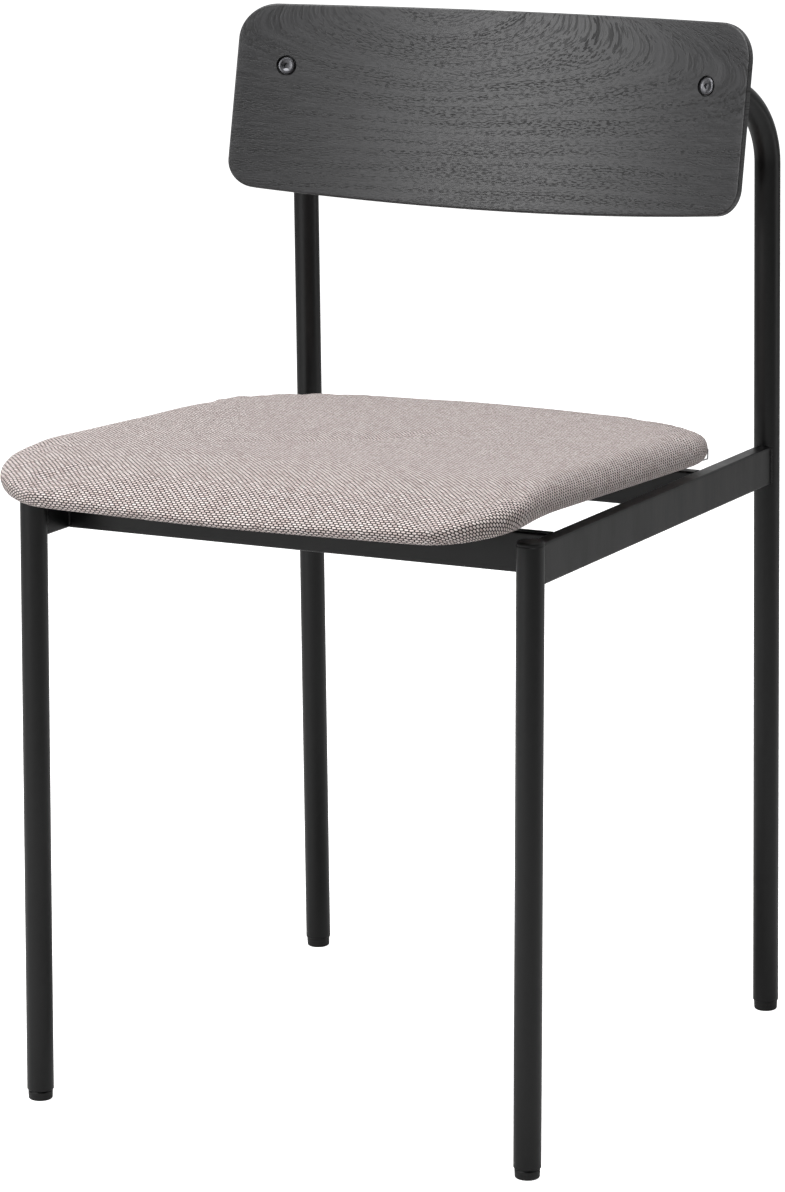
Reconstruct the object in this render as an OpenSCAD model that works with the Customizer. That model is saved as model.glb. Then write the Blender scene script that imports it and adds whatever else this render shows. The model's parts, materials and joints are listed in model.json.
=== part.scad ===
// Dining chair: four-legged steel tube frame, thin upholstered seat pad, moulded plywood back.
// Units are millimetres. -Y is the front, +Z is up and the floor is z = 0.
// Left and right are as seen from in front of the chair, so +X is the right-hand side.

/* [Leg tubes] */
// Outside diameter of the leg tubes
tube_d = 19; // [18:0.5:20]
// Wall thickness of the leg tubes
tube_wall = 1.5; // [1:0.1:2]
// Distance between the left and right leg axes
leg_spacing = 378.5; // [360:0.5:400]
// Distance between the front and rear leg axes on the floor
leg_depth = 428; // [410:1:450]
// Forward lean of the rear legs in degrees
rear_lean = 1.7; // [0:0.1:3]
// Centre-line radius of the bend at the top of the rear legs
bend_radius = 60; // [50:1:62]
// Height at which the two straight stretches of a rear leg would meet
bend_height = 689.5; // [660:0.5:720]
// Distance from that meeting point to the back panel
bend_reach = 64; // [60:0.5:80]

/* [Seat rails] */
// Height of the top of the rails and crossbars
rail_top = 432.5; // [400:0.5:460]
// Height of the rail section
rail_height = 28; // [24:1:32]
// Width of the rail section
rail_width = 12; // [10:0.5:14]
// Wall thickness of the rails
rail_wall = 1.5; // [1:0.1:2]
// Outside corner radius of the rails
rail_corner = 1.5; // [1:0.1:2]
// Distance from the front leg axes back to the front crossbar's centre
front_bar_y = 44; // [30:1:60]
// Distance from the front leg axes back to the rear crossbar's centre
rear_bar_y = 296; // [280:1:310]

/* [Back panel] */
// Straight width of the panel from end to end
back_width = 410.5; // [400:0.5:424]
// Height of the panel at its ends
back_height = 136; // [128:1:150]
// How much higher the top edge is in the middle
back_crown_top = 6; // [1:0.5:10]
// How much lower the bottom edge is in the middle
back_crown_bottom = 5.5; // [1:0.5:10]
// Radius of the two upper corners
back_corner_top = 28; // [20:1:34]
// Radius of the two lower corners
back_corner_bottom = 20; // [14:1:30]
// Thickness of the moulded plywood
back_thickness = 8; // [7:0.5:10]
// Backward tilt of the panel in degrees
back_tilt = 11.4; // [8:0.1:14]
// Angle that the panel has turned through where a bolt crosses it
back_wrap = 16.3; // [14:0.1:18]
// Height of the bolts above the panel's middle, measured along the panel
bolt_rise = 23.5; // [15:0.5:30]

/* [Seat pad] */
// Width of the upholstered pad
pad_width = 395; // [385:1:410]
// Distance from the front leg axes forward to the pad's nose
pad_front = 77; // [70:1:85]
// Distance from the front leg axes back to the pad's rear edge
pad_rear = 359; // [350:1:370]
// Thickness of the pad from board underside to fabric crown
pad_thickness = 20; // [19:0.5:26]
// How far the pad's nose drops below the flat of the board
nose_drop = 10.5; // [8:0.5:12]
// Length over which the top rolls down to the nose
nose_length = 108; // [90:1:120]
// Thickness of the plywood seat board
board_thickness = 9; // [8:0.5:10]
// Radius to which the front of the seat board is bent
board_bend_radius = 460; // [420:10:600]
// Thickness of the seat fabric
fabric_thickness = 1.2; // [1:0.1:1.5]
// Backward slope of the seat in degrees
seat_tilt = 2.1; // [0:0.1:3]
// Height of the board above the front crossbar
seat_lift = 17.5; // [15:0.5:22]

/* [Hidden] */
$fn = 64;
slack = 1;
leg_x = leg_spacing / 2;
bore_d = tube_d - 2 * tube_wall;
rail_bottom = rail_top - rail_height;

// Glides and plugs
glide_height = 7;
glide_d = tube_d - 1.4;
glide_foot_d = tube_d - 5;
glide_round = 1.6;
stem_d = bore_d - 0.2;
stem_tip_d = bore_d - 2;
glide_stem = 22;
glide_lip = 1;
stem_ribs = 3;
stem_rib = 2;
cap_height = 3;
cap_round = 2;
cap_stem = 12;

// Hardware that holds the back
bolt_shank_d = 6;
bolt_head_d = 12.6;
bolt_head_height = 3;
bolt_length = 22;
bolt_chamfer = 0.6;
hex_key = 4;
hex_depth = 2.4;
recess_d = 15.2;
recess_depth = 3;
clearance_d = 6.6;
thread_slack = 0.2;
panel_sweep = 23;
panel_facets = 512;
boss_spigot = 4;
boss_spigot_d = bore_d - 0.8;
washer_thickness = 1.5;

// Hardware that holds the seat
screw_d = 5;
screw_hole_d = 5.5;
screw_access_d = 8.8;
screw_head_d = 8.5;
screw_head_height = 5;
screw_key = 4;
screw_key_depth = 2.5;
screw_x = 120;
screw_bite = 7;
spacer_d = 20;
tee_flange_d = 18;
tee_flange_height = 1.5;
tee_barrel_d = 7;
tee_bore_d = 5.2;
tee_gap = 0.5;
tee_start = 1;

// Upholstery
prism_half = 40;
board_inset = 5;
board_side_inset = 6;
fold_width = 24;
lining_thickness = 0.8;
lining_gap = 0.5;
pad_corner_front = 60;
pad_corner_rear = 85;
pad_crown_front = 3;
pad_crown_rear = 9;
lower_nose_length = 7;
lower_nose_height = 5.4;
rear_roll = 11;
rear_under_roll = 9;
board_bend_start = -5;
staple_width = 10;
staple_wire = 0.9;
staple_leg = 6;
staple_inset = 13;
staple_inset_front = 27;
staple_inset_rear = 19;
staple_span = 250;
staple_start = 15;
staple_count = 6;

// Direction in which each rear leg's end meets the back panel, on the right-hand side
end_x = -sin(back_wrap);
end_y = -cos(back_wrap) * cos(back_tilt);
end_z = cos(back_wrap) * sin(back_tilt);
end_y_leg = end_y * cos(rear_lean) + end_z * sin(rear_lean);
end_z_leg = end_z * cos(rear_lean) - end_y * sin(rear_lean);
bend_angle = acos(end_z_leg);
bend_azimuth = atan2(-end_x, -end_y_leg);
bend_tangent = bend_radius * tan(bend_angle / 2);
post_length = bend_height / cos(rear_lean) - bend_tangent;
boss_length = bend_reach - bend_tangent - washer_thickness;
panel_gap = bend_reach - bend_tangent;

// The whole chair is centred on y = 0 between the pad's nose and the rear feet
pad_y = front_bar_y;
pad_front_local = -(pad_front + pad_y);
pad_rear_local = pad_rear - pad_y;
nose_y = min([for (p = pad_profile(0)) p[0] * cos(seat_tilt) + p[1] * sin(seat_tilt)]) + pad_y;
heel_y = leg_depth + tube_d / 2 * cos(rear_lean) - glide_height * sin(rear_lean);
centre_y = (nose_y + heel_y) / 2;
front_y = -centre_y;
rear_y = leg_depth - centre_y;

// Back panel: part of an upright cylinder, placed so that the leg ends meet it squarely
bolt_reach = bend_reach + back_thickness;
bolt_x = leg_x + end_x * bolt_reach;
bolt_y = rear_y - bend_height * tan(rear_lean) + end_y * bolt_reach;
bolt_z = bend_height + end_z * bolt_reach;
back_radius = bolt_x / sin(back_wrap);
back_sagitta = back_radius * (1 - cos(back_wrap));
back_y = bolt_y + back_sagitta * cos(back_tilt) - bolt_rise * sin(back_tilt);
back_z = bolt_z - back_sagitta * sin(back_tilt) - bolt_rise * cos(back_tilt);

// ---------- shared geometry ----------

// Points of an arc about a centre, from one angle to another
function arc(cx, cy, rx, ry, from, to, steps) =
    [for (i = [0:steps]) let (a = from + (to - from) * i / steps) [cx + rx * cos(a), cy + ry * sin(a)]];

// Height of the board's underside at a distance from the front crossbar
function board_under(y) =
    y >= board_bend_start ? 0
    : sqrt(pow(board_bend_radius, 2) - pow(board_bend_start - y, 2)) - board_bend_radius;

// Slope of the board's underside there, in degrees
function board_slope(y) = y >= board_bend_start ? 0 : asin((board_bend_start - y) / board_bend_radius);

// Underside of the pad or board from y0 forward to y1, lowered by d
function under_curve(y0, y1, d) =
    [for (i = [0:12]) let (y = y0 + (y1 - y0) * i / 12) [y, board_under(y) - d]];

// Side view of the pad, drawn inside the fabric's outer face by the inset e
function pad_profile(e) =
    let (nose_z = -nose_drop)
    concat(
        arc(pad_front_local + nose_length, nose_z, nose_length - e, pad_thickness + nose_drop - e,
            180, 90, 14),
        arc(pad_rear_local - rear_roll, pad_thickness - rear_roll, rear_roll - e, rear_roll - e, 90, 0, 6),
        arc(pad_rear_local - rear_under_roll, pad_thickness - rear_roll, rear_under_roll - e,
            pad_thickness - rear_roll + fabric_thickness - e, 0, -90, 6),
        under_curve(board_bend_start, pad_front_local + lower_nose_length + e, fabric_thickness - e),
        arc(pad_front_local + lower_nose_length, nose_z, lower_nose_length - e, lower_nose_height - e,
            260, 185, 4)
    );

// Side view of the bent seat board
function board_profile() =
    let (front = pad_front_local + board_inset + lower_nose_length, rear = pad_rear_local - board_inset)
    concat(
        [[rear, 0]],
        under_curve(board_bend_start, front, 0),
        [for (i = [0:12]) let (y = front + (board_bend_start - front) * i / 12)
            [y, board_under(y) + board_thickness]],
        [[rear, board_thickness]]
    );

// Plan outline with crowned front and rear edges and four rounded corners, drawn inside by the inset e
function plan_outline(e) =
    let (
        w = pad_width / 2 - e, f = pad_front_local + e, r = pad_rear_local - e,
        cf = max(pad_corner_front - e, 4), cr = max(pad_corner_rear - e, 4),
        ff = f + pad_crown_front, rr = r - pad_crown_rear
    )
    concat(
        arc(w - cr, rr - cr, cr, cr, 0, 84, 9),
        [for (i = [1:11]) let (t = 1 - i / 6) [t * (w - cr), r - pad_crown_rear * t * t]],
        arc(cr - w, rr - cr, cr, cr, 96, 180, 9),
        arc(cf - w, ff + cf, cf, cf, 180, 266, 9),
        [for (i = [1:11]) let (t = i / 6 - 1) [t * (w - cf), f + pad_crown_front * t * t]],
        arc(w - cf, ff + cf, cf, cf, 274, 360, 9)
    );

// Outline of the back panel seen square on
function back_outline() =
    let (
        w = back_width / 2, h = back_height / 2, rt = back_corner_top, rb = back_corner_bottom,
        at = back_crown_top * (1 - pow((w - rt) / w, 2)), ab = back_crown_bottom * (1 - pow((w - rb) / w, 2))
    )
    concat(
        arc(w - rb, rb - h - ab, rb, rb, -86, 0, 9),
        arc(w - rt, h + at - rt, rt, rt, 0, 86, 9),
        [for (i = [1:15]) let (t = (1 - i / 8) * (w - rt) / w) [t * w, h + back_crown_top * (1 - t * t)]],
        arc(rt - w, h + at - rt, rt, rt, 94, 180, 9),
        arc(rb - w, rb - h - ab, rb, rb, 180, 266, 9),
        [for (i = [1:15]) let (t = (i / 8 - 1) * (w - rb) / w) [t * w, -h - back_crown_bottom * (1 - t * t)]]
    );

// Draws a right-hand piece, or its mirror image on the left
module on_side(side) {
    if (side == "left") mirror([1, 0, 0]) children();
    else children();
}

// Frame of a front leg: the floor point under its axis
module on_front_leg() {
    translate([leg_x, front_y, 0]) children();
}

// Frame of a rear leg: the floor point of its leaning axis
module on_rear_leg() {
    translate([leg_x, rear_y, 0]) rotate([rear_lean, 0, 0]) children();
}

// Frame of a rear leg's bend: its start, with the bend leading towards -X
module at_bend_start() {
    on_rear_leg() translate([0, 0, post_length]) rotate([0, 0, 90 - bend_azimuth]) children();
}

// Frame of a rear leg's end: the end of the bend, with +Z along the last straight stretch
module at_bend_end() {
    at_bend_start()
        translate([-bend_radius, 0, 0]) rotate([0, -bend_angle, 0]) translate([bend_radius, 0, 0]) children();
}

// Frame of the seat: the board's underside above the front crossbar
module on_seat() {
    translate([0, front_y + pad_y, rail_top + seat_lift]) rotate([-seat_tilt, 0, 0]) children();
}

// Frame of a seat screw: the underside of a crossbar, below its access hole
module at_seat_screw(bar_y, side) {
    translate([side * screw_x, front_y + bar_y, rail_bottom]) children();
}

// Height of the board's underside above a crossbar
function lift_at(bar_y) = seat_lift - (bar_y - pad_y) * tan(seat_tilt);

// One rear leg's centre line as a solid rod of diameter d, longer by over at the foot
module rear_leg_rod(d, over) {
    length = post_length - glide_height + over;
    at_bend_start() {
        translate([0, 0, -length]) cylinder(d = d, h = length);
        translate([-bend_radius, 0, 0]) rotate([90, 0, 0])
            rotate_extrude(angle = bend_angle) translate([bend_radius, 0]) circle(d = d);
    }
}

// Rounded rectangle centred on the origin
module rounded_section(w, h, r) {
    square([w - 2 * r, h], center = true);
    square([w, h - 2 * r], center = true);
    for (x = [-1, 1], y = [-1, 1]) translate([x * (w / 2 - r), y * (h / 2 - r)]) circle(r = r);
}

// Hollow rail section, standing on its long axis
module rail_section() {
    difference() {
        rounded_section(rail_width, rail_height, rail_corner);
        square([rail_width - 2 * rail_wall, rail_height - 2 * rail_wall], center = true);
    }
}

// Prism of a side view, as wide as the pad
module side_prism(points, width) {
    translate([-width / 2, 0, 0]) rotate([90, 0, 90]) linear_extrude(width) polygon(points);
}

// Prism of a plan view, deeper than the pad
module plan_prism(points) {
    translate([0, 0, -prism_half]) linear_extrude(2 * prism_half) polygon(points);
}

// Solid that the fabric's outer face (e = 0) or inner face (e = fabric_thickness) encloses
module pad_solid(e) {
    intersection() {
        side_prism(pad_profile(e), pad_width);
        plan_prism(plan_outline(e));
    }
}

// Everything below the middle of the board's thickness
module board_shadow() {
    side_prism(concat(
        [[pad_rear_local, -prism_half], [pad_rear_local, board_thickness / 2]],
        under_curve(board_bend_start, pad_front_local, -board_thickness / 2),
        [[pad_front_local, -prism_half]]
    ), pad_width);
}

// One staple hanging from the board at a point of its underside, its crown along X or Y
module staple(x, y, turned) {
    leg_offset = (staple_width - staple_wire) / 2;
    translate([x, y, board_under(y) - fabric_thickness]) rotate([board_slope(y), 0, turned ? 90 : 0]) {
        translate([-staple_width / 2, -staple_wire / 2, -staple_wire])
            cube([staple_width, staple_wire, staple_wire]);
        for (s = [-1, 1]) translate([s * leg_offset - staple_wire / 2, -staple_wire / 2, -staple_wire / 2])
            cube([staple_wire, staple_wire, staple_leg + fabric_thickness]);
    }
}

// Staples along all four edges of the board
module all_staples() {
    for (i = [0:staple_count - 1]) {
        along = staple_span * i / (staple_count - 1);
        staple(along - staple_span / 2, pad_front_local + staple_inset_front, false);
        staple(along - staple_span / 2, pad_rear_local - staple_inset_rear, false);
        for (s = [-1, 1]) staple(s * (pad_width / 2 - staple_inset), staple_start + along, true);
    }
}

// Ribbed stem of a push-in plug, going up from its lip
module plug_stem(length) {
    cylinder(d = stem_tip_d, h = length);
    for (i = [1:stem_ribs]) translate([0, 0, i * length / (stem_ribs + 1) - stem_rib / 2])
        cylinder(d = stem_d, h = stem_rib);
}

// ---------- steel frame ----------

module front_leg(side) {
    color("#1b1b1c") on_side(side) on_front_leg() translate([0, 0, glide_height]) difference() {
        cylinder(d = tube_d, h = rail_top - glide_height);
        translate([0, 0, -slack]) cylinder(d = bore_d, h = rail_top - glide_height + 2 * slack);
    }
}

module rear_leg(side) {
    color("#1b1b1c") on_side(side) difference() {
        rear_leg_rod(tube_d, 0);
        rear_leg_rod(bore_d, slack);
    }
}

module side_rail(side) {
    color("#1e1e20") on_side(side) difference() {
        translate([leg_x, front_y, rail_top - rail_height / 2])
            rotate([-90, 0, 0]) linear_extrude(leg_depth - rail_top * tan(rear_lean)) rail_section();
        on_front_leg() cylinder(d = tube_d, h = rail_top + slack);
        on_rear_leg() cylinder(d = tube_d, h = rail_top + rail_height);
    }
}

module crossbar(bar_y) {
    length = leg_spacing - rail_width;
    color("#1e1e20") difference() {
        translate([-length / 2, front_y + bar_y, rail_top - rail_height / 2])
            rotate([90, 0, 90]) linear_extrude(length) rail_section();
        for (s = [-1, 1]) at_seat_screw(bar_y, s) {
            translate([0, 0, -slack]) cylinder(d = screw_access_d, h = rail_wall + 2 * slack);
            translate([0, 0, rail_height / 2]) cylinder(d = screw_hole_d, h = rail_height);
        }
    }
}

// ---------- plastic caps and glides ----------

module front_leg_cap(side) {
    color("#121213") on_side(side) on_front_leg() translate([0, 0, rail_top]) {
        rotate_extrude() polygon(concat(
            [[0, 0], [tube_d / 2, 0]],
            arc(tube_d / 2 - cap_round, cap_height - cap_round, cap_round, cap_round, 0, 90, 6),
            [[0, cap_height]]
        ));
        mirror([0, 0, 1]) plug_stem(cap_stem);
    }
}

// Glide with a rounded lip; foot is how far its flat sole lies below the nominal floor
module glide(foot) {
    rotate_extrude() polygon(concat(
        [[0, -foot], [glide_foot_d / 2, -foot]],
        arc(glide_foot_d / 2, glide_round, glide_round, glide_round, -90, -15, 5),
        [[glide_d / 2, glide_height - glide_lip], [glide_d / 2, glide_height], [0, glide_height]]
    ));
    translate([0, 0, glide_height]) plug_stem(glide_stem);
}

module front_glide(side) {
    color("#101011") on_side(side) on_front_leg() glide(0);
}

module rear_glide(side) {
    color("#101011") on_side(side) difference() {
        on_rear_leg() glide(slack);
        translate([0, rear_y - tube_d, -tube_d]) cube([leg_spacing, 2 * tube_d, tube_d]);
    }
}

// ---------- back ----------

// Frame of the back panel: the middle of its front face, +Z up along the panel, +Y into it
module on_back() {
    translate([0, back_y, back_z]) rotate([-back_tilt, 0, 0]) children();
}

// Frame where a rear leg meets the panel: its rear face, +Z out through the front
module at_back_bolt() {
    at_bend_end() translate([0, 0, panel_gap]) children();
}

module back_panel() {
    color("#2b2b2d") difference() {
        on_back() intersection() {
            translate([0, -back_radius, -back_height])
                rotate([0, 0, 90 - panel_sweep]) rotate_extrude(angle = 2 * panel_sweep, $fn = panel_facets)
                    translate([back_radius, 0]) square([back_thickness, 2 * back_height]);
            translate([0, 2 * back_thickness, 0])
                rotate([90, 0, 0]) linear_extrude(back_height) polygon(back_outline());
        }
        for (side = ["left", "right"]) on_side(side) at_back_bolt() {
            translate([0, 0, -slack]) cylinder(d = clearance_d, h = back_thickness + 2 * slack);
            translate([0, 0, back_thickness - recess_depth]) cylinder(d = recess_d, h = recess_depth + slack);
        }
    }
}

module back_boss(side) {
    color("#1b1b1c") on_side(side) at_bend_end() difference() {
        union() {
            cylinder(d = tube_d, h = boss_length);
            translate([0, 0, -boss_spigot]) cylinder(d = boss_spigot_d, h = boss_spigot + slack);
        }
        translate([0, 0, -boss_spigot - slack])
            cylinder(d = bolt_shank_d + thread_slack, h = boss_length + boss_spigot + 2 * slack);
    }
}

module back_washer(side) {
    color("#151516") on_side(side) at_bend_end() translate([0, 0, boss_length]) difference() {
        cylinder(d = tube_d, h = washer_thickness);
        translate([0, 0, -slack]) cylinder(d = clearance_d, h = washer_thickness + 2 * slack);
    }
}

module back_bolt(side) {
    seat = back_thickness - recess_depth;
    color("#6f7175") on_side(side) at_back_bolt() translate([0, 0, seat]) difference() {
        union() {
            rotate_extrude() polygon([
                [0, 0], [bolt_head_d / 2, 0], [bolt_head_d / 2, bolt_head_height - bolt_chamfer],
                [bolt_head_d / 2 - bolt_chamfer, bolt_head_height], [0, bolt_head_height]
            ]);
            translate([0, 0, -bolt_length]) cylinder(d = bolt_shank_d, h = bolt_length);
        }
        translate([0, 0, bolt_head_height - hex_depth])
            cylinder(d = hex_key / cos(30), h = hex_depth + slack, $fn = 6);
    }
}

// ---------- seat ----------

module seat_board() {
    color("#c9a877") on_seat() difference() {
        intersection() {
            side_prism(board_profile(), pad_width);
            plan_prism(plan_outline(board_side_inset));
        }
        seat_hardware_space();
        all_staples();
    }
}

// Vertical holes and recesses for the tee nuts, in the frame of the seat
module seat_hardware_space() {
    for (bar_y = [front_bar_y, rear_bar_y], s = [-1, 1])
        rotate([seat_tilt, 0, 0]) translate([s * screw_x, bar_y - pad_y, lift_at(bar_y) - seat_lift]) {
            translate([0, 0, -slack])
                cylinder(d = tee_barrel_d + thread_slack, h = board_thickness + 2 * slack);
            translate([0, 0, board_thickness - tee_flange_height - tee_gap])
                cylinder(d = tee_flange_d + tee_gap, h = tee_flange_height + tee_gap + slack);
        }
}

module seat_foam() {
    color("#e3d9b8") on_seat() difference() {
        pad_solid(fabric_thickness);
        intersection() {
            side_prism(board_profile(), pad_width);
            plan_prism(plan_outline(board_side_inset));
        }
        seat_hardware_space();
    }
}

module seat_cover() {
    color("#b9aca9") on_seat() difference() {
        pad_solid(0);
        pad_solid(fabric_thickness);
        intersection() {
            plan_prism(plan_outline(fold_width));
            board_shadow();
        }
        all_staples();
    }
}

module seat_lining() {
    color("#1a1a1a") on_seat() difference() {
        intersection() {
            plan_prism(plan_outline(fold_width + lining_gap));
            side_prism(concat(
                [[pad_rear_local, 0], [board_bend_start, 0]],
                under_curve(board_bend_start, pad_front_local, 0),
                under_curve(pad_front_local, board_bend_start, lining_thickness),
                [[pad_rear_local, -lining_thickness]]
            ), pad_width);
        }
        for (bar_y = [front_bar_y, rear_bar_y], s = [-1, 1])
            rotate([seat_tilt, 0, 0]) translate([s * screw_x, bar_y - pad_y, -board_thickness - seat_lift])
                cylinder(d = spacer_d + slack, h = 4 * seat_lift);
    }
}

module seat_staples() {
    color("#b4b6b9") on_seat() all_staples();
}

module seat_spacers(bar_y) {
    color("#141415") difference() {
        for (s = [-1, 1]) at_seat_screw(bar_y, s) translate([0, 0, rail_height]) difference() {
            cylinder(d = spacer_d, h = lift_at(bar_y) + 2 * slack);
            translate([0, 0, -slack]) cylinder(d = screw_hole_d, h = seat_lift + 4 * slack);
        }
        on_seat() translate([-pad_width / 2, pad_front_local, 0])
            cube([pad_width, pad_rear + pad_front, prism_half]);
    }
}

module seat_screws() {
    color("#77797c") for (bar_y = [front_bar_y, rear_bar_y], s = [-1, 1])
        at_seat_screw(bar_y, s) translate([0, 0, rail_height - rail_wall]) difference() {
            union() {
                cylinder(d = screw_d, h = rail_wall + lift_at(bar_y) + screw_bite);
                translate([0, 0, -screw_head_height]) cylinder(d = screw_head_d, h = screw_head_height);
            }
            translate([0, 0, -screw_head_height - slack])
                cylinder(d = screw_key / cos(30), h = slack + screw_key_depth, $fn = 6);
        }
}

module seat_tee_nuts() {
    color("#a3a5a8") for (bar_y = [front_bar_y, rear_bar_y], s = [-1, 1])
        at_seat_screw(bar_y, s) translate([0, 0, rail_height + lift_at(bar_y)]) difference() {
            union() {
                translate([0, 0, tee_start])
                    cylinder(d = tee_barrel_d, h = board_thickness - tee_start - tee_gap - slack);
                translate([0, 0, board_thickness - tee_gap - tee_flange_height])
                    cylinder(d = tee_flange_d, h = tee_flange_height);
            }
            translate([0, 0, -slack]) cylinder(d = tee_bore_d, h = board_thickness + 2 * slack);
        }
}

// ---------- assembly ----------

front_leg("left");  // front_leg_left
front_leg("right");  // front_leg_right
rear_leg("left");  // rear_leg_left
rear_leg("right");  // rear_leg_right
side_rail("left");  // side_rail_left
side_rail("right");  // side_rail_right
crossbar(front_bar_y);  // front_crossbar
crossbar(rear_bar_y);  // rear_crossbar
front_leg_cap("left");  // front_leg_cap_left
front_leg_cap("right");  // front_leg_cap_right
front_glide("left");  // front_glide_left
front_glide("right");  // front_glide_right
rear_glide("left");  // rear_glide_left
rear_glide("right");  // rear_glide_right
back_panel();
back_boss("left");  // back_boss_left
back_boss("right");  // back_boss_right
back_washer("left");  // back_washer_left
back_washer("right");  // back_washer_right
back_bolt("left");  // back_bolt_left
back_bolt("right");  // back_bolt_right
seat_board();
seat_foam();
seat_cover();
seat_lining();
seat_staples();
seat_spacers(front_bar_y);  // front_seat_spacers
seat_spacers(rear_bar_y);  // rear_seat_spacers
seat_screws();
seat_tee_nuts();
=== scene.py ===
import json
import math
import bmesh
import bpy
from mathutils import Matrix, Vector
from mathutils.noise import noise


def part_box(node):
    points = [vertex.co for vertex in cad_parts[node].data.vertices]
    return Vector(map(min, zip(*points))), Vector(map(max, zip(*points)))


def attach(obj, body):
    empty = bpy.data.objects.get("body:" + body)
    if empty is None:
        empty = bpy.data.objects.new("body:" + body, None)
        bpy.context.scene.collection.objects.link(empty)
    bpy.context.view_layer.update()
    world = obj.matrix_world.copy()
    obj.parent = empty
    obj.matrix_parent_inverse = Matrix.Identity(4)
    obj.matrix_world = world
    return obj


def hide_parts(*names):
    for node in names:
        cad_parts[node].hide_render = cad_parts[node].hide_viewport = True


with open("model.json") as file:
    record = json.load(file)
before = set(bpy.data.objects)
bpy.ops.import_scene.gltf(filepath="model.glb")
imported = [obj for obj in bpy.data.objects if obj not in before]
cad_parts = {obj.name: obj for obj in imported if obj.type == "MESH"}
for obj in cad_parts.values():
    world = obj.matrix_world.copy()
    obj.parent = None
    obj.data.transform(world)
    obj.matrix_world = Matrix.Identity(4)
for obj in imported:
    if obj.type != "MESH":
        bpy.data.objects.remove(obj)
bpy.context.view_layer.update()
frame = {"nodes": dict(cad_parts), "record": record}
NODES = frame["nodes"]

# ---------- camera, light and floor ----------


def make_camera():
    """A long lens in front of the chair, to its right, a little above the back."""
    yaw, pitch, roll = 0.46066, 0.15941, 0.00052
    aside, before, height = 1.44155, 2.72742, 1.03946
    front_y = sum(corner[1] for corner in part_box("front_leg_right")) / 2
    data = bpy.data.cameras.new("camera")
    data.sensor_width = 36.0
    data.lens = 140.70
    data.shift_y = -0.2
    cam = bpy.data.objects.new("camera", data)
    bpy.context.scene.collection.objects.link(cam)
    right = Vector((math.cos(yaw), math.sin(yaw), 0.0))
    ahead = Vector((-math.sin(yaw) * math.cos(pitch), math.cos(yaw) * math.cos(pitch), -math.sin(pitch)))
    up = right.cross(ahead)
    x_axis = right * math.cos(roll) + up * math.sin(roll)
    y_axis = up * math.cos(roll) - right * math.sin(roll)
    turn = Matrix((x_axis, y_axis, -ahead)).transposed().to_4x4()
    cam.matrix_world = Matrix.Translation((aside, front_y - before, height)) @ turn
    data.clip_end = 50.0
    bpy.context.scene.camera = cam


def make_light(name, place, target, size, power):
    """A soft rectangular light that looks at a target."""
    data = bpy.data.lights.new(name, "AREA")
    data.shape = "RECTANGLE"
    data.size, data.size_y = size
    data.energy = power
    lamp = bpy.data.objects.new(name, data)
    bpy.context.scene.collection.objects.link(lamp)
    way = Vector(target) - Vector(place)
    lamp.rotation_euler = way.to_track_quat("-Z", "Y").to_euler()
    lamp.location = place


BACKDROP_WAY = (-0.44, 0.90, 0.25)


def backdrop_world():
    """White to the camera; to the chair, a bright backdrop behind it and a darker room in front."""
    world = bpy.data.worlds.new("studio")
    world.use_nodes = True
    tree = world.node_tree
    back = tree.nodes["Background"]
    where = tree.nodes.new("ShaderNodeTexCoord").outputs["Generated"]
    facing = tree.nodes.new("ShaderNodeVectorMath")
    facing.operation = "DOT_PRODUCT"
    tree.links.new(where, facing.inputs[0])
    facing.inputs[1].default_value = BACKDROP_WAY
    glow = tree.nodes.new("ShaderNodeMapRange")
    tree.links.new(facing.outputs["Value"], glow.inputs[0])
    room_from, backdrop_from, room_glow, backdrop_glow = -0.2, 0.9, 0.02, 0.6
    for index, value in enumerate((room_from, backdrop_from, room_glow, backdrop_glow), 1):
        glow.inputs[index].default_value = value
    seen = tree.nodes.new("ShaderNodeLightPath").outputs["Is Camera Ray"]
    share = tree.nodes.new("ShaderNodeMix")
    tree.links.new(seen, share.inputs[0])
    tree.links.new(glow.outputs[0], share.inputs[2])
    share.inputs[3].default_value = 1.0
    back.inputs["Color"].default_value = (1.0, 1.0, 1.0, 1.0)
    tree.links.new(share.outputs[0], back.inputs["Strength"])
    return world


def make_floor():
    """Pale studio paper, lit enough to meet the backdrop."""
    mesh = bpy.data.meshes.new("floor")
    bm = bmesh.new()
    bmesh.ops.create_grid(bm, x_segments=1, y_segments=1, size=12.0)
    bm.to_mesh(mesh)
    bm.free()
    floor = bpy.data.objects.new("floor", mesh)
    bpy.context.scene.collection.objects.link(floor)
    mat = bpy.data.materials.new("floor_paper")
    mat.use_nodes = True
    tree = mat.node_tree
    shader = tree.nodes["Principled BSDF"]
    shader.inputs["Base Color"].default_value = (0.72, 0.72, 0.72, 1.0)
    shader.inputs["Roughness"].default_value = 0.9
    shader.inputs["Specular IOR Level"].default_value = 0.0
    shader.inputs["Emission Color"].default_value = (1.0, 1.0, 1.0, 1.0)
    seen = tree.nodes.new("ShaderNodeLightPath").outputs["Is Camera Ray"]
    tree.links.new(seen, shader.inputs["Emission Strength"])
    mesh.materials.append(mat)


def make_studio():
    scene = bpy.context.scene
    scene.view_settings.view_transform = "Standard"
    scene.world = backdrop_world()
    make_light("key", (-1.55, -2.9, 1.5), (0.0, 0.0, 0.65), (1.7, 1.5), 62.0)
    make_light("top", (-0.2, -0.5, 2.6), (0.0, 0.0, 0.45), (2.2, 2.2), 84.0)
    make_light("right", (2.7, 1.3, 1.1), (0.0, 0.0, 0.4), (0.7, 2.2), 9.0)
    make_floor()


make_camera()
make_studio()

# ---------- material helpers ----------


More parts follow.
